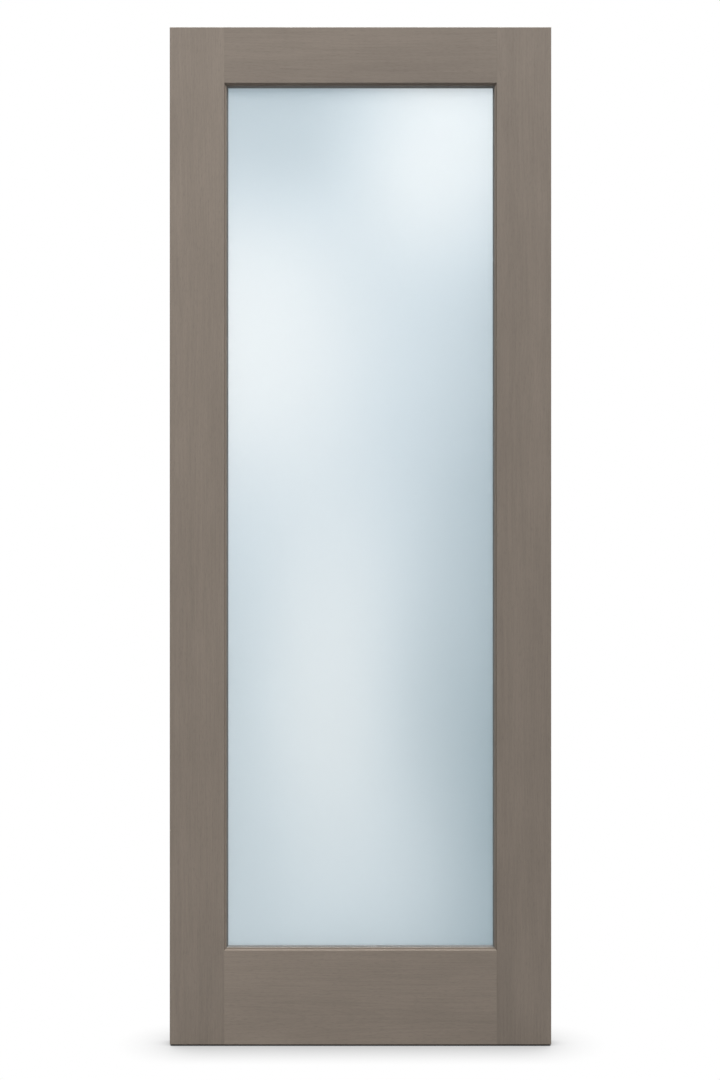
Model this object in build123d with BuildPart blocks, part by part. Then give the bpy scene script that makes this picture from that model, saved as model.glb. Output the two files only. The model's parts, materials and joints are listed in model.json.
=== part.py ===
"""Single-lite glazed door leaf: engineered stiles and rails, coped together round a sealed glass unit.

Millimetres. Seen from the front, X runs from the left edge to the right edge and Z up from the foot
of the leaf. Y runs from front to back, with 0 in the middle of the thickness.
"""

import os
from collections import namedtuple

from build123d import *

# Leaf
door_width = 914.4
door_height = 2438.4
door_thickness = 44.45
stile_face = 130.5
top_rail_face = 133.2
bottom_rail_face = 225.3
arris_radius = 1.5

# Sticking: a bevel and a narrow flat step, on the front of each member and the back of each bead
bevel_width = 2.4
bevel_depth = 5.0
step_width = 2.6

# Layers of an engineered member
veneer_thickness = 3.2
outer_lipping_width = 18.0
inner_lipping_width = 26.0

# Corner joints: rails coped over the stiles and dowelled to them
joint_gap = 0.15
dowel_diameter = 16.0
dowel_length = 125.0
dowel_pitch = 55.0
top_rail_dowel_count = 2
bottom_rail_dowel_count = 3
dowel_clearance = 0.1
dowel_end_room = 2.0

# Glass unit in its rebate
glass_setback = 18.0
pane_thickness = 4.0
pane_arris = 0.5
cavity_width = 6.0
spacer_height = 7.0
rebate_width = 16.0
glass_clearance = 3.0
setting_block_length = 100.0

# Lipped gasket in front of the glass, flat gasket behind it, and the removable beads on the back,
# which stand back from the sight line and so stay hidden from the front
gasket_thickness = 1.5
gasket_bite = 11.0
gasket_lip_width = 3.4
gasket_lip_rise = 5.0
gasket_nose = 0.6
bead_clearance = 0.2
bead_reveal = 4.0

# Depths through the leaf
front = -door_thickness / 2
back = door_thickness / 2
glass_front = front + glass_setback
glass_back = glass_front + 2 * pane_thickness + cavity_width
shoulder = glass_front - gasket_thickness
bead_front = glass_back + gasket_thickness

# Widths from the outer edge to the sight line, where the wood ends and the glass shows
sticking_width = bevel_width + step_width
stile_width = stile_face + sticking_width
top_rail_width = top_rail_face + sticking_width
bottom_rail_width = bottom_rail_face + sticking_width

# A member's section is drawn on its plane: local x points across the member to the glass and is 0 at
# the sight line, local y is the leaf's Y. The section then runs along the plane's normal for `run`.
Member = namedtuple("Member", "plane width run")

left_stile = Member(
    Plane((stile_width, 0, 0), x_dir=(1, 0, 0), z_dir=(0, 0, 1)),
    stile_width,
    door_height,
)
right_stile = Member(
    Plane((door_width - stile_width, 0, 0), x_dir=(-1, 0, 0), z_dir=(0, 0, -1)),
    stile_width,
    -door_height,
)
top_rail = Member(
    Plane((0, 0, door_height - top_rail_width), x_dir=(0, 0, -1), z_dir=(1, 0, 0)),
    top_rail_width,
    door_width,
)
bottom_rail = Member(
    Plane((0, 0, bottom_rail_width), x_dir=(0, 0, 1), z_dir=(-1, 0, 0)),
    bottom_rail_width,
    -door_width,
)

stiles = {"left_stile": left_stile, "right_stile": right_stile}
rails = {"top_rail": top_rail, "bottom_rail": bottom_rail}

# Sides of the glass, in the order of the corners that opening_corners gives
sides = {
    "bottom": bottom_rail,
    "right": right_stile,
    "top": top_rail,
    "left": left_stile,
}

finished = []


def finish(piece, name):
    """Label a finished piece and keep it for export."""
    piece.label = name
    finished.append(piece)


def opening_corners(grow):
    """Corners of the glass opening at the sight line, grown on every side; lower left first, then round."""
    left = stile_width - grow
    right = door_width - stile_width + grow
    low = bottom_rail_width - grow
    high = door_height - top_rail_width + grow
    return [(left, low), (right, low), (right, high), (left, high)]


def member_outline(width):
    """Section of a whole stile or rail: bevel and step on the front, rebate for the glass behind."""
    return [
        (-width, front),
        (-sticking_width, front),
        (-step_width, front + bevel_depth),
        (0, front + bevel_depth),
        (0, shoulder),
        (-rebate_width, shoulder),
        (-rebate_width, back),
        (-width, back),
    ]


def dowel_rods(rail_core_height, count, radius, length):
    """Rods across both joints of one rail, one above the other in the middle of the rail's core."""
    joint = stile_width - rebate_width
    depth = (shoulder + back) / 2
    with BuildPart() as rods:
        with BuildSketch(Plane.YZ.offset(joint - length / 2)):
            with Locations((depth, rail_core_height)):
                with GridLocations(dowel_pitch, dowel_pitch, 1, count):
                    Circle(radius)
        extrude(amount=length)
        mirror(about=Plane.YZ.offset(door_width / 2))
    return rods.part


# Dowels and the bores they are glued in
top_rail_core_height = door_height - (top_rail_width - inner_lipping_width) / 2
bottom_rail_core_height = (bottom_rail_width - inner_lipping_width) / 2
dowel_sets = {
    "top_rail_dowels": (top_rail_core_height, top_rail_dowel_count),
    "bottom_rail_dowels": (bottom_rail_core_height, bottom_rail_dowel_count),
}
with BuildPart() as dowel_bores:
    for core_height, count in dowel_sets.values():
        bore_radius = dowel_diameter / 2 + dowel_clearance
        bore_length = dowel_length + 2 * dowel_end_room
        add(dowel_rods(core_height, count, bore_radius, bore_length))

for name, (core_height, count) in dowel_sets.items():
    finish(dowel_rods(core_height, count, dowel_diameter / 2, dowel_length), name)

# Space taken by the two stiles, which the ends of the rails are coped to fit
with BuildPart() as cope_tool:
    for stile in stiles.values():
        with BuildSketch(stile.plane):
            with BuildLine():
                Polyline(*member_outline(stile.width), close=True)
            make_face()
            offset(amount=joint_gap, kind=Kind.INTERSECTION)
        extrude(amount=2 * door_height, both=True)


def is_leaf_border(edge):
    """True for an edge that runs along the outer border of the leaf."""
    middle = edge.center()
    from_border = min(
        abs(middle.X),
        abs(middle.X - door_width),
        abs(middle.Z),
        abs(middle.Z - door_height),
    )
    return from_border < joint_gap


def member_layer(member, across, through, coped, eased_face=None):
    """One layer of a stile or rail: the slice of its section within two ranges, run along the member."""
    with BuildPart() as layer:
        with BuildSketch(member.plane):
            with BuildLine():
                Polyline(*member_outline(member.width), close=True)
            make_face()
            with Locations((sum(across) / 2, sum(through) / 2)):
                Rectangle(across[1] - across[0], through[1] - through[0], mode=Mode.INTERSECT)
        extrude(amount=member.run)
        add(dowel_bores.part, mode=Mode.SUBTRACT)
        if coped:
            add(cope_tool.part, mode=Mode.SUBTRACT)
        if eased_face is not None:
            nearest, farthest = eased_face - joint_gap, eased_face + joint_gap
            face_edges = layer.edges().filter_by_position(Axis.Y, nearest, farthest)
            fillet(face_edges.filter_by(is_leaf_border), arris_radius)
    return layer.part


def build_member(name, member, coped, outer_lipping):
    """All layers of one stile or rail. Only the stiles have a lipping on the outer edge."""
    outer = -member.width
    core_start = outer + outer_lipping
    inside = (front + veneer_thickness, back - veneer_thickness)
    whole = (outer, 0)
    front_skin = (front, inside[0])
    back_skin = (inside[1], back)

    finish(member_layer(member, whole, front_skin, coped, front), f"{name}_front_veneer")
    finish(member_layer(member, whole, back_skin, coped, back), f"{name}_back_veneer")
    finish(member_layer(member, (core_start, -inner_lipping_width), inside, coped), f"{name}_core")
    finish(member_layer(member, (-inner_lipping_width, 0), inside, coped), f"{name}_inner_lipping")
    if outer_lipping:
        finish(member_layer(member, (outer, core_start), inside, coped), f"{name}_outer_lipping")


for name, stile in stiles.items():
    build_member(name, stile, coped=False, outer_lipping=outer_lipping_width)
for name, rail in rails.items():
    build_member(name, rail, coped=True, outer_lipping=0)


def pane(front_face):
    """One sheet of the glass unit, with its edges seamed."""
    with BuildPart() as sheet:
        with BuildSketch(Plane.XZ.offset(-front_face)):
            with BuildLine():
                Polyline(*opening_corners(rebate_width - glass_clearance), close=True)
            make_face()
        extrude(amount=-pane_thickness)
        chamfer(sheet.edges(), pane_arris)
    return sheet.part


finish(pane(glass_front), "front_pane")
finish(pane(glass_back - pane_thickness), "back_pane")

# Two blocks that carry the glass unit, at its quarter points on the floor of the rebate
glass_width = door_width - 2 * (stile_width - rebate_width + glass_clearance)
with BuildPart() as setting_blocks:
    with BuildSketch(Plane.XY.offset(bottom_rail_width - rebate_width)):
        with Locations((door_width / 2, (glass_front + glass_back) / 2)):
            with GridLocations(glass_width / 2, glass_width / 2, 2, 1):
                Rectangle(setting_block_length, glass_back - glass_front)
    extrude(amount=glass_clearance)
finish(setting_blocks.part, "setting_blocks")


def mitred_strip(member, side_number, outline):
    """One strip of a frame round the glass: its outline run along the member, with mitred ends."""
    outer = opening_corners(rebate_width)
    inner = opening_corners(-2 * gasket_lip_width)
    next_corner = (side_number + 1) % len(outer)
    with BuildPart() as strip:
        with BuildSketch(member.plane):
            with BuildLine():
                Polyline(*outline, close=True)
            make_face()
        extrude(amount=member.run)
        with BuildSketch(Plane.XZ):
            with BuildLine():
                Polyline(
                    outer[side_number],
                    inner[side_number],
                    inner[next_corner],
                    outer[next_corner],
                    close=True,
                )
            make_face()
        extrude(amount=door_thickness, both=True, mode=Mode.INTERSECT)
    return strip.part


spacer_outline = [
    (-bead_reveal - spacer_height, glass_front + pane_thickness),
    (-bead_reveal, glass_front + pane_thickness),
    (-bead_reveal, glass_back - pane_thickness),
    (-bead_reveal - spacer_height, glass_back - pane_thickness),
]
front_gasket_outline = [
    (-gasket_bite, shoulder),
    (0, shoulder),
    (0, shoulder - gasket_lip_rise),
    (gasket_lip_width, glass_front - gasket_nose),
    (gasket_lip_width, glass_front),
    (-gasket_bite, glass_front),
]
back_gasket_outline = [
    (-gasket_bite, glass_back),
    (-bead_reveal, glass_back),
    (-bead_reveal, bead_front),
    (-gasket_bite, bead_front),
]
bead_outer = bead_clearance - rebate_width
bead_outline = [
    (bead_outer, bead_front),
    (-bead_reveal, bead_front),
    (-bead_reveal, back - bevel_depth),
    (-bead_reveal - step_width, back - bevel_depth),
    (-bead_reveal - sticking_width, back),
    (bead_outer, back),
]
strips = {
    "spacer": spacer_outline,
    "front_gasket": front_gasket_outline,
    "back_gasket": back_gasket_outline,
    "glazing_bead": bead_outline,
}
for strip_name, outline in strips.items():
    for side_number, (side, member) in enumerate(sides.items()):
        finish(mitred_strip(member, side_number, outline), f"{strip_name}_{side}")

os.makedirs("parts", exist_ok=True)
for piece in finished:
    export_step(piece, f"parts/{piece.label}.step")
print(len(finished), "pieces written")
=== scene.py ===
"""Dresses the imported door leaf: stained wood, satin glass, and a white studio with its camera.

Metres, in the leaf's own frame: X to the right and Z up as seen from the front, Y from front to back.
"""

import json
import math
from collections import namedtuple

import bmesh
import bpy
from mathutils import Matrix, Vector


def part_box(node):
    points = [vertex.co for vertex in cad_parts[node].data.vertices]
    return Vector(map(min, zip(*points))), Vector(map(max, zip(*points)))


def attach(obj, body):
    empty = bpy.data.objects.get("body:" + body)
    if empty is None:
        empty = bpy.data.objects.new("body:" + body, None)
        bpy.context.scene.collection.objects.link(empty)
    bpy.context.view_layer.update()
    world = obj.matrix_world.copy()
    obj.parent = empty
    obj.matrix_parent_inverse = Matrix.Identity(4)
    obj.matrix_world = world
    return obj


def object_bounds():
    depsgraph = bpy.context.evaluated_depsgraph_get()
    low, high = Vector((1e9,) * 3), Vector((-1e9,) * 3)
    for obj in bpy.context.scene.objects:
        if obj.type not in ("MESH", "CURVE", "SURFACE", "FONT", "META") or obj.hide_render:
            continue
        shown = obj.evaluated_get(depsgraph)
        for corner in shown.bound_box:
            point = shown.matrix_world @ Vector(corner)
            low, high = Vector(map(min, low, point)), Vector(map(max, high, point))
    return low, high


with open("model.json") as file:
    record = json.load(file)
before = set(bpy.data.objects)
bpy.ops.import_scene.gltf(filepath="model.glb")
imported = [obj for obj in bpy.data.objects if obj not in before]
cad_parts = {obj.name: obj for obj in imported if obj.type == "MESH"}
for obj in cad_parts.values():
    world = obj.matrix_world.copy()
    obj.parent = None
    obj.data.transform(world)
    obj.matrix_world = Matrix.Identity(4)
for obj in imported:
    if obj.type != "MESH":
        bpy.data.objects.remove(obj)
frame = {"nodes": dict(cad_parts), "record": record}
cad_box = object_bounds()
leaf_low, leaf_high = cad_box
leaf_centre = (leaf_low + leaf_high) / 2

X_AXIS, Z_AXIS = 0, 2
QUARTER_TURN = math.radians(90)
WHITE = (1.0, 1.0, 1.0, 1.0)

# Camera, square on to the front face
CAMERA_LENS_MM = 50.0
CAMERA_SENSOR_MM = 36.0
CAMERA_DISTANCE = 3.594
CAMERA_SIDE_OFFSET = -0.0012
CAMERA_DROP = 0.0099

# Studio light: a soft box in front and its twin behind, azimuth in degrees from the front and positive to
# the right, elevation in degrees, power in watts
AMBIENT_STRENGTH = 0.25
KEY_DISTANCE = 11.0
KEY_AZIMUTHS = {"front_light": 6.0, "back_light": 174.0}
KEY_ELEVATION = 62.0
KEY_SIZE = 5.5
KEY_POWER = 1540.0

# Floor: the leaf hangs just clear of it and darkens it where they come close
FLOOR_REACH = 14.0
FLOOR_GAP = 0.0032
FLOOR_COLOUR = (0.30, 0.30, 0.30)
CONTACT_SHADOW_REACH = 0.135
CONTACT_SHADOW = [(0.0, 0.01), (0.34, 0.05), (0.48, 0.58), (1.0, 1.0)]

# Wood grain: features to the metre across and along the grain, and how finely each breaks up
Grain = namedtuple("Grain", "across along detail")
PORE = Grain(1000.0, 70.0, 2.0)
FIBRE = Grain(240.0, 8.0, 4.0)
FIGURE = Grain(24.0, 1.3, 3.0)
WANDER = Grain(2.5, 0.8, 1.0)
UPTAKE = Grain(14.0, 6.0, 2.0)

# Growth rings round a pith behind the face, which wanders along the grain
RINGS_PER_METRE = 190.0
RING_PROFILE = [(0.0, 1.0), (0.65, 0.55), (0.92, 0.0), (1.0, 1.0)]
PITH_DEPTH = 0.09
WANDER_REACH = 0.10

# How much of the grain's light and dark comes from each layer
FIBRE_SHARE = 0.42
FIGURE_SHARE = 0.48
RING_SHARE = 0.10
GRAIN_CONTRAST = 0.095
GRAIN_RANGE = (0.30, 0.70)
PORE_PROFILE = [(0.34, 0.88), (0.46, 1.0)]
UPTAKE_PROFILE = [(0.3, 0.965), (0.7, 1.035)]

# Stain: how much lighter or darker each board's face has taken it, partly its own tone and partly painted
# light (the darker top rail and right stile and the lighter bottom rail paint how the light falls across
# the leaf), and the painted shade, standing in for light falling off, that drifts in a metre rightwards
# or upwards along the grain
STAIN = (0.217, 0.181, 0.149)
BoardToneAndShade = namedtuple("BoardToneAndShade", "tone drift")
# tones and drifts below are part board tone and part painted light and shade
FACES = {
    "left_stile": BoardToneAndShade(1.01, 0.0),
    "right_stile": BoardToneAndShade(0.89, -0.02),
    "top_rail": BoardToneAndShade(0.88, -0.05),
    "bottom_rail": BoardToneAndShade(1.10, -0.16),
}

# Cores under the faces take the stain evenly, and dowels are bare wood
CORE = BoardToneAndShade(0.90, 0.0)
DOWEL = BoardToneAndShade(1.0, 0.0)
DOWEL_COLOUR = (0.52, 0.40, 0.27)

# Lacquer on the wood, and the relief of pores and fibre under it
LACQUER_ROUGHNESS = [(0.3, 0.66), (0.7, 0.56)]
LACQUER_SPECULAR = 0.32
PORE_RELIEF_SHARE = 0.5
FIBRE_RELIEF_SHARE = 0.5
WOOD_BUMP_STRENGTH = 0.35
WOOD_BUMP_DEPTH = 0.0003

# Glass: colour that light takes on each time it crosses a face, and the share of light let through
GLASS_IOR = 1.5
CLEAR_COLOUR = (0.97, 0.985, 0.985)
CLEAR_CLARITY = 1.0
SATIN_COLOUR = (0.950, 0.975, 0.985)
SATIN_CLARITY = 0.92

# Fine grain of the etched face
ETCH_PER_METRE = 2400.0
ETCH_DETAIL = 2.0
ETCH_ROUGHNESS = [(0.3, 0.39), (0.7, 0.45)]
ETCH_BUMP_STRENGTH = 0.12
ETCH_BUMP_DEPTH = 0.0001

# Matte pieces, each with a mottle of so many features to the metre. The filler is darker than the stain.
Matte = namedtuple("Matte", "colour roughness mottle_per_metre")
GASKET_RUBBER = Matte((0.17, 0.17, 0.163), 0.7, 900.0)
SPACER_FOAM = Matte((0.45, 0.45, 0.45), 0.8, 700.0)
SETTING_BLOCK_RUBBER = Matte((0.03, 0.03, 0.03), 0.7, 500.0)
PIN_FILLER_TONE = 0.75
PIN_FILLER = Matte(tuple(part * PIN_FILLER_TONE for part in STAIN), 0.6, 4000.0)
MOTTLE_DETAIL = 3.0
MOTTLE_TONES = [(0.3, 0.85), (0.7, 1.15)]
MOTTLE_BUMP_STRENGTH = 0.2
MOTTLE_BUMP_DEPTH = 0.0002

# Screens of soft light a little way behind and in front of the glass, seen only through it
SCREEN_GAP = 0.30
SCREEN_MARGIN = 1.2
SCREEN_FOOT = 0.01

# Colour of the screens at each amount of light, and the amount where no patch reaches
SCREEN_COLOURS = [(0.2, (0.235, 0.34, 0.40)), (0.6, (0.675, 0.76, 0.82)), (1.0, (1.0, 1.01, 1.015))]
SCREEN_BASE = 0.59

# Patches on the screens: centre across and up, radius across and up, and amount of light added
SCREEN_PATCHES = [
    ((0.69, 2.24), (0.43, 0.52), 0.36),
    ((0.76, 1.69), (0.30, 0.45), 0.065),
    ((0.16, 1.74), (0.52, 0.64), 0.34),
    ((0.37, 0.90), (0.30, 0.90), 0.19),
    ((0.92, 1.15), (0.47, 2.20), -0.29),
    ((0.10, 0.30), (0.28, 0.80), -0.09),
    ((0.22, 2.32), (0.50, 0.46), -0.20),
    ((0.55, 0.00), (0.75, 0.36), -0.17),
    ((0.90, 0.35), (0.45, 0.90), -0.16),
    ((0.60, 0.80), (0.22, 0.45), -0.07),
    ((0.14, 0.92), (0.20, 0.45), -0.06),
    ((0.52, 2.37), (0.22, 0.26), -0.05),
]

# Warm tinge low on the screens: a patch as above, and the tint that it gives in full
WARM_PATCH = ((0.40, 0.55), (1.60, 1.05), 1.0)
WARM_TINT = (1.015, 1.0, 0.98)

# Member that each glazing bead lies along and whose wood it shares
BEAD_MEMBERS = {
    "glazing_bead_left": "left_stile",
    "glazing_bead_right": "right_stile",
    "glazing_bead_top": "top_rail",
    "glazing_bead_bottom": "bottom_rail",
}

# Filled pin holes along the flat of each glazing bead, set in from its outer edge
PIN_RADIUS = 0.0009
PIN_RISE = 0.00012
PIN_SIDES = 12
PIN_PITCH = 0.22
PIN_INSET = 0.0034


class NodeGraph:
    """Short calls for building one node tree."""

    def __init__(self, tree):
        self.tree = tree
        self.tree.nodes.clear()

    def node(self, kind, **settings):
        """Adds a node and sets its properties."""
        made = self.tree.nodes.new(kind)
        for name, value in settings.items():
            setattr(made, name, value)
        return made

    def feed(self, socket, value):
        """Links an output to a socket, or sets the socket's own value."""
        if isinstance(value, bpy.types.NodeSocket):
            self.tree.links.new(value, socket)
        else:
            socket.default_value = value

    def math(self, operation, *values):
        """A math node's output."""
        made = self.node("ShaderNodeMath", operation=operation)
        for socket, value in zip(made.inputs, values):
            self.feed(socket, value)
        return made.outputs["Value"]

    def vector(self, operation, *values, output="Vector"):
        """A vector math node's output."""
        made = self.node("ShaderNodeVectorMath", operation=operation)
        for socket, value in zip(made.inputs, values):
            self.feed(socket, value)
        return made.outputs[output]

    def weighted_sum(self, terms):
        """Sum of values, each times its share."""
        total = 0.0
        for value, share in terms:
            total = self.math("MULTIPLY_ADD", value, share, total)
        return total

    def ramp(self, factor, stops):
        """A colour ramp's output. Each stop is a position and a grey or a colour."""
        made = self.node("ShaderNodeValToRGB")
        elements = made.color_ramp.elements
        while len(elements) < len(stops):
            elements.new(1.0)
        for element, (position, colour) in zip(elements, stops):
            element.position = position
            rgb = (colour,) * 3 if isinstance(colour, float) else colour
            element.color = (*rgb, 1.0)
        self.feed(made.inputs["Fac"], factor)
        return made.outputs["Color"]

    def object_coords(self):
        """Place on the object, in metres."""
        return self.node("ShaderNodeTexCoord").outputs["Object"]

    def noise(self, coords, scale, detail, output="Fac"):
        """Noise on coordinates that are first scaled along each axis."""
        made = self.node("ShaderNodeTexNoise")
        self.feed(made.inputs["Vector"], self.vector("MULTIPLY", coords, scale))
        made.inputs["Scale"].default_value = 1.0
        made.inputs["Detail"].default_value = detail
        return made.outputs[output]

    def bump(self, height, strength, distance):
        """A bump node's normal."""
        made = self.node("ShaderNodeBump")
        self.feed(made.inputs["Height"], height)
        made.inputs["Strength"].default_value = strength
        made.inputs["Distance"].default_value = distance
        return made.outputs["Normal"]

    def mix_shader(self, factor, first, second):
        """A shader that goes from the first to the second as the factor goes from 0 to 1."""
        made = self.node("ShaderNodeMixShader")
        for socket, value in zip(made.inputs, (factor, first, second)):
            self.feed(socket, value)
        return made.outputs["Shader"]

    def seen_by_eye(self):
        """1 for rays from the camera, straight or by way of gloss or glass."""
        path = self.node("ShaderNodeLightPath")
        seen = self.math("MAXIMUM", path.outputs["Is Camera Ray"], path.outputs["Is Glossy Ray"])
        return self.math("MAXIMUM", seen, path.outputs["Is Transmission Ray"])


def new_material(name):
    """A material and the graph of its empty node tree."""
    material = bpy.data.materials.new(name)
    material.use_nodes = True
    return material, NodeGraph(material.node_tree)


def finish_surface(graph, surface):
    """Links a shader to the material's output."""
    output = graph.node("ShaderNodeOutputMaterial")
    graph.feed(output.inputs["Surface"], surface)


def scaled(colour, factor):
    """A colour made lighter or darker."""
    return tuple(part * factor for part in colour)


def along_grain(grain_axis, across, along):
    """Three values, one for each axis, with its own value along the grain."""
    values = [across] * 3
    values[grain_axis] = along
    return values


def grain_noise(graph, coords, grain_axis, grain, output="Fac"):
    """Noise drawn out along the grain."""
    scale = along_grain(grain_axis, grain.across, grain.along)
    return graph.noise(coords, scale, grain.detail, output)


def early_wood(graph, coords, grain_axis, pith):
    """Growth rings: 1 in the early wood, falling to 0 in the late wood."""
    wander = grain_noise(graph, coords, grain_axis, WANDER, "Color")
    place = graph.vector("MULTIPLY_ADD", wander, (WANDER_REACH,) * 3, coords)
    from_pith = graph.vector("SUBTRACT", place, pith)
    across = graph.vector("MULTIPLY", from_pith, along_grain(grain_axis, 1.0, 0.0))
    radius = graph.vector("LENGTH", across, output="Value")
    ring = graph.math("FRACT", graph.math("MULTIPLY", radius, RINGS_PER_METRE))
    return graph.ramp(ring, RING_PROFILE)


def painted_shade_drift(graph, coords, grain_axis, pith, drift):
    """Painted shade: change of tone along the grain as the light falls off, 1 in the middle of the board.
    """
    from_pith = graph.vector("SUBTRACT", coords, pith)
    along = graph.vector("DOT_PRODUCT", from_pith, along_grain(grain_axis, 0.0, 1.0), output="Value")
    return graph.math("MULTIPLY_ADD", along, drift, 1.0)


def wood_material(name, grain_axis, pith, colour, board):
    """Lacquered wood with its grain along one axis, in a colour that the board takes in its own way, with
    painted light and shade in the board's tone and in its drift along the grain.
    """
    material, graph = new_material(name)
    coords = graph.object_coords()
    pores = grain_noise(graph, coords, grain_axis, PORE)
    fibre = grain_noise(graph, coords, grain_axis, FIBRE)
    figure = grain_noise(graph, coords, grain_axis, FIGURE)
    uptake = grain_noise(graph, coords, grain_axis, UPTAKE)
    rings = early_wood(graph, coords, grain_axis, pith)

    layers = [(fibre, FIBRE_SHARE), (figure, FIGURE_SHARE), (rings, RING_SHARE)]
    dark = scaled(colour, board.tone * (1 - GRAIN_CONTRAST))
    light = scaled(colour, board.tone * (1 + GRAIN_CONTRAST))
    tone = graph.ramp(graph.weighted_sum(layers), list(zip(GRAIN_RANGE, (dark, light))))
    for change in (
        graph.ramp(uptake, UPTAKE_PROFILE),
        # painted shade: the tone drifts along the grain as the light falls off across the board
        painted_shade_drift(graph, coords, grain_axis, pith, board.drift),
        graph.ramp(pores, PORE_PROFILE),
    ):
        tone = graph.vector("MULTIPLY", tone, change)
    relief = graph.weighted_sum([(pores, PORE_RELIEF_SHARE), (fibre, FIBRE_RELIEF_SHARE)])

    surface = graph.node("ShaderNodeBsdfPrincipled")
    graph.feed(surface.inputs["Base Color"], tone)
    graph.feed(surface.inputs["Roughness"], graph.ramp(fibre, LACQUER_ROUGHNESS))
    surface.inputs["Specular IOR Level"].default_value = LACQUER_SPECULAR
    graph.feed(surface.inputs["Normal"], graph.bump(relief, WOOD_BUMP_STRENGTH, WOOD_BUMP_DEPTH))
    finish_surface(graph, surface.outputs["BSDF"])
    return material


def glass_surface(graph, colour, clarity):
    """Shader of sheet glass with smooth faces."""
    surface = graph.node("ShaderNodeBsdfPrincipled")
    surface.inputs["Base Color"].default_value = (*colour, 1.0)
    surface.inputs["Transmission Weight"].default_value = clarity
    surface.inputs["IOR"].default_value = GLASS_IOR
    surface.inputs["Roughness"].default_value = 0.0
    finish_surface(graph, surface.outputs["BSDF"])
    return surface


def clear_material(name):
    """Clear sheet glass."""
    material, graph = new_material(name)
    glass_surface(graph, CLEAR_COLOUR, CLEAR_CLARITY)
    return material


def satin_material(name):
    """Sheet glass with the fine grain of an etched face."""
    material, graph = new_material(name)
    surface = glass_surface(graph, SATIN_COLOUR, SATIN_CLARITY)
    grain = graph.noise(graph.object_coords(), (ETCH_PER_METRE,) * 3, ETCH_DETAIL)
    graph.feed(surface.inputs["Roughness"], graph.ramp(grain, ETCH_ROUGHNESS))
    graph.feed(surface.inputs["Normal"], graph.bump(grain, ETCH_BUMP_STRENGTH, ETCH_BUMP_DEPTH))
    return material


def matte_material(name, matte):
    """A matte piece with a fine mottle."""
    material, graph = new_material(name)
    mottle = graph.noise(graph.object_coords(), (matte.mottle_per_metre,) * 3, MOTTLE_DETAIL)
    stops = [(position, scaled(matte.colour, tone)) for position, tone in MOTTLE_TONES]
    surface = graph.node("ShaderNodeBsdfPrincipled")
    graph.feed(surface.inputs["Base Color"], graph.ramp(mottle, stops))
    surface.inputs["Roughness"].default_value = matte.roughness
    graph.feed(surface.inputs["Normal"], graph.bump(mottle, MOTTLE_BUMP_STRENGTH, MOTTLE_BUMP_DEPTH))
    finish_surface(graph, surface.outputs["BSDF"])
    return material


def run_axis(member):
    """Axis that a stile or rail, its grain and its bead run along."""
    return Z_AXIS if member.endswith("stile") else X_AXIS


def board_woods():
    """Face wood and core wood of each stile and rail, by member."""
    faces, cores = {}, {}
    for member, face in FACES.items():
        low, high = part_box(f"{member}_front_veneer")
        grain_axis = run_axis(member)
        pith = (low + high) / 2 + Vector((0.0, PITH_DEPTH, 0.0))
        faces[member] = wood_material(f"{member}_wood", grain_axis, pith, STAIN, face)
        cores[member] = wood_material(f"{member}_core_wood", grain_axis, pith, STAIN, CORE)
    return faces, cores


face_woods, core_woods = board_woods()
other_materials = {
    "dowel_wood": wood_material("dowel_wood", X_AXIS, leaf_centre, DOWEL_COLOUR, DOWEL),
    "satin_glass": satin_material("satin_glass"),
    "clear_glass": clear_material("clear_glass"),
    "gasket": matte_material("gasket_rubber", GASKET_RUBBER),
    "spacer": matte_material("spacer_foam", SPACER_FOAM),
    "setting_block": matte_material("setting_block_rubber", SETTING_BLOCK_RUBBER),
}


def member_of(node):
    """Stile or rail that a wooden piece belongs to."""
    if node in BEAD_MEMBERS:
        return BEAD_MEMBERS[node]
    return next(member for member in FACES if node.startswith(member))


def finish_for(node, slot):
    """Material of one piece of the leaf."""
    if slot in other_materials:
        return other_materials[slot]
    woods = core_woods if slot == "core_wood" else face_woods
    return woods[member_of(node)]


for subpart in frame["record"]["subparts"]:
    materials = frame["nodes"][subpart["node"]].data.materials
    materials.clear()
    materials.append(finish_for(subpart["node"], subpart["material_slot"]))


def mesh_piece(name, shape, material):
    """Puts a finished shape into the scene as an object."""
    mesh = bpy.data.meshes.new(name)
    shape.to_mesh(mesh)
    shape.free()
    mesh.materials.append(material)
    piece = bpy.data.objects.new(name, mesh)
    bpy.context.scene.collection.objects.link(piece)
    return piece


def bead_pins():
    """Filled pin holes along the four glazing beads, as one piece."""
    shape = bmesh.new()
    facing_back = Matrix.Rotation(QUARTER_TURN, 4, "X")
    for bead, member in BEAD_MEMBERS.items():
        low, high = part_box(bead)
        run = run_axis(member)
        side = X_AXIS if run == Z_AXIS else Z_AXIS
        at_low_side = (low + high)[side] / 2 < leaf_centre[side]
        place = Vector((0.0, leaf_high.y, 0.0))
        place[side] = low[side] + PIN_INSET if at_low_side else high[side] - PIN_INSET
        count = round((high[run] - low[run]) / PIN_PITCH)
        for number in range(count):
            place[run] = low[run] + (high[run] - low[run]) * (number + 0.5) / count
            bmesh.ops.create_cone(
                shape,
                cap_ends=True,
                segments=PIN_SIDES,
                radius1=PIN_RADIUS,
                radius2=PIN_RADIUS,
                depth=2 * PIN_RISE,
                matrix=Matrix.Translation(place) @ facing_back,
            )
    return mesh_piece("bead_pins", shape, matte_material("pin_filler", PIN_FILLER))


pins = bead_pins()
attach(pins, "root")


def flat_sheet(name, corners, material):
    """A four-cornered sheet that belongs to the stage."""
    shape = bmesh.new()
    shape.faces.new([shape.verts.new(corner) for corner in corners])
    sheet = mesh_piece(name, shape, material)
    return sheet


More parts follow.
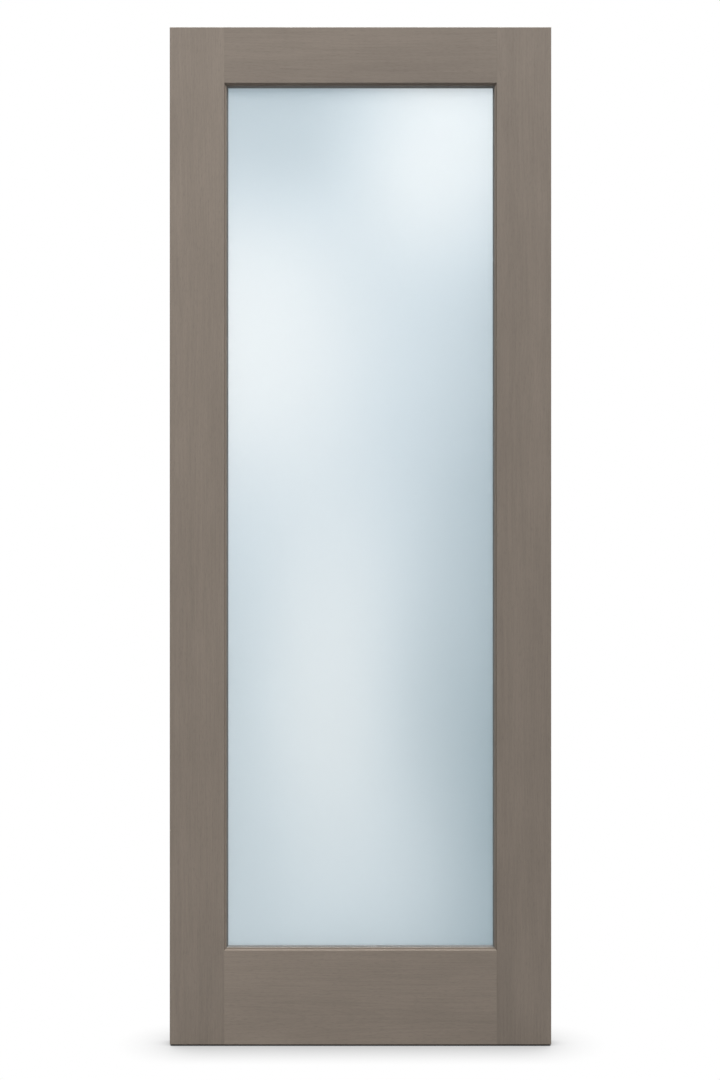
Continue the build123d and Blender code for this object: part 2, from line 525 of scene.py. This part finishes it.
def floor_material():
    """Pale floor that the eye sees as white, apart from the soft contact shadow of the leaf."""
    material, graph = new_material("studio_floor")
    surface = graph.node("ShaderNodeBsdfDiffuse")
    surface.inputs["Color"].default_value = (*FLOOR_COLOUR, 1.0)
    openness = graph.node("ShaderNodeAmbientOcclusion")
    openness.inputs["Distance"].default_value = CONTACT_SHADOW_REACH
    white = graph.node("ShaderNodeEmission")
    graph.feed(white.inputs["Color"], graph.ramp(openness.outputs["AO"], CONTACT_SHADOW))
    mixed = graph.mix_shader(graph.seen_by_eye(), surface.outputs["BSDF"], white.outputs["Emission"])
    finish_surface(graph, mixed)
    return material


floor_corners = [
    (leaf_centre.x + side_x * FLOOR_REACH, side_y * FLOOR_REACH, leaf_low.z - FLOOR_GAP)
    for side_x, side_y in ((-1, -1), (1, -1), (1, 1), (-1, 1))
]
flat_sheet("studio_floor", floor_corners, floor_material())


def soft_patch(graph, coords, centre, radii, amount):
    """Soft patch of light on the screen, at its full amount in the middle and none at its rim."""
    place = graph.vector("SUBTRACT", coords, (centre[0], 0.0, centre[1]))
    shrunk = graph.vector("MULTIPLY", place, (1 / radii[0], 0.0, 1 / radii[1]))
    fade = graph.node("ShaderNodeMapRange", interpolation_type="SMOOTHERSTEP")
    graph.feed(fade.inputs["Value"], graph.vector("LENGTH", shrunk, output="Value"))
    fade.inputs["To Min"].default_value = amount
    fade.inputs["To Max"].default_value = 0.0
    return fade.outputs["Result"]


def screen_material():
    """Light of both screens."""
    material, graph = new_material("light_screen")
    coords = graph.object_coords()
    light = SCREEN_BASE
    for centre, radii, amount in SCREEN_PATCHES:
        light = graph.math("ADD", light, soft_patch(graph, coords, centre, radii, amount))
    colour = graph.ramp(light, SCREEN_COLOURS)
    tint = graph.ramp(soft_patch(graph, coords, *WARM_PATCH), [(0.0, 1.0), (1.0, WARM_TINT)])
    glow = graph.node("ShaderNodeEmission")
    graph.feed(glow.inputs["Color"], graph.vector("MULTIPLY", colour, tint))
    finish_surface(graph, glow.outputs["Emission"])
    return material


def light_screen(name, screen_y, material):
    """Upright screen that only light through the glass can reach."""
    left, right = leaf_low.x - SCREEN_MARGIN, leaf_high.x + SCREEN_MARGIN
    foot, head = leaf_low.z + SCREEN_FOOT, leaf_high.z + SCREEN_MARGIN
    corners = [
        (left, screen_y, foot),
        (right, screen_y, foot),
        (right, screen_y, head),
        (left, screen_y, head),
    ]
    screen = flat_sheet(name, corners, material)
    screen.visible_camera = False
    screen.visible_diffuse = False
    screen.visible_glossy = False
    screen.visible_shadow = False


screen_light = screen_material()
light_screen("back_screen", leaf_high.y + SCREEN_GAP, screen_light)
light_screen("front_screen", leaf_low.y - SCREEN_GAP, screen_light)


def studio_world():
    """Even pale light all round, white where the eye sees it."""
    world = bpy.data.worlds.new("studio")
    world.use_nodes = True
    bpy.context.scene.world = world
    graph = NodeGraph(world.node_tree)
    ambient = graph.node("ShaderNodeBackground")
    ambient.inputs["Strength"].default_value = AMBIENT_STRENGTH
    ambient.inputs["Color"].default_value = WHITE
    backdrop = graph.node("ShaderNodeBackground")
    backdrop.inputs["Color"].default_value = WHITE
    output = graph.node("ShaderNodeOutputWorld")
    mixed = graph.mix_shader(
        graph.seen_by_eye(), ambient.outputs["Background"], backdrop.outputs["Background"]
    )
    graph.feed(output.inputs["Surface"], mixed)


def soft_box(name, azimuth):
    """A square area light that faces the leaf's middle, unseen by the camera."""
    turn, rise = math.radians(azimuth), math.radians(KEY_ELEVATION)
    away = Vector((math.sin(turn) * math.cos(rise), -math.cos(turn) * math.cos(rise), math.sin(rise)))
    data = bpy.data.lights.new(name, "AREA")
    data.size = KEY_SIZE
    data.energy = KEY_POWER
    lamp = bpy.data.objects.new(name, data)
    lamp.location = leaf_centre + away * KEY_DISTANCE
    lamp.rotation_euler = (-away).to_track_quat("-Z", "Y").to_euler()
    lamp.visible_camera = False
    bpy.context.scene.collection.objects.link(lamp)


studio_world()
for light_name, light_azimuth in KEY_AZIMUTHS.items():
    soft_box(light_name, light_azimuth)

camera_data = bpy.data.cameras.new("camera")
camera_data.lens = CAMERA_LENS_MM
camera_data.sensor_width = CAMERA_SENSOR_MM
camera = bpy.data.objects.new("camera", camera_data)
camera.location = (
    leaf_centre.x + CAMERA_SIDE_OFFSET,
    leaf_low.y - CAMERA_DISTANCE,
    leaf_centre.z - CAMERA_DROP,
)
camera.rotation_euler = (QUARTER_TURN, 0.0, 0.0)
bpy.context.scene.collection.objects.link(camera)
bpy.context.scene.camera = camera
bpy.context.scene.view_settings.view_transform = "Standard"
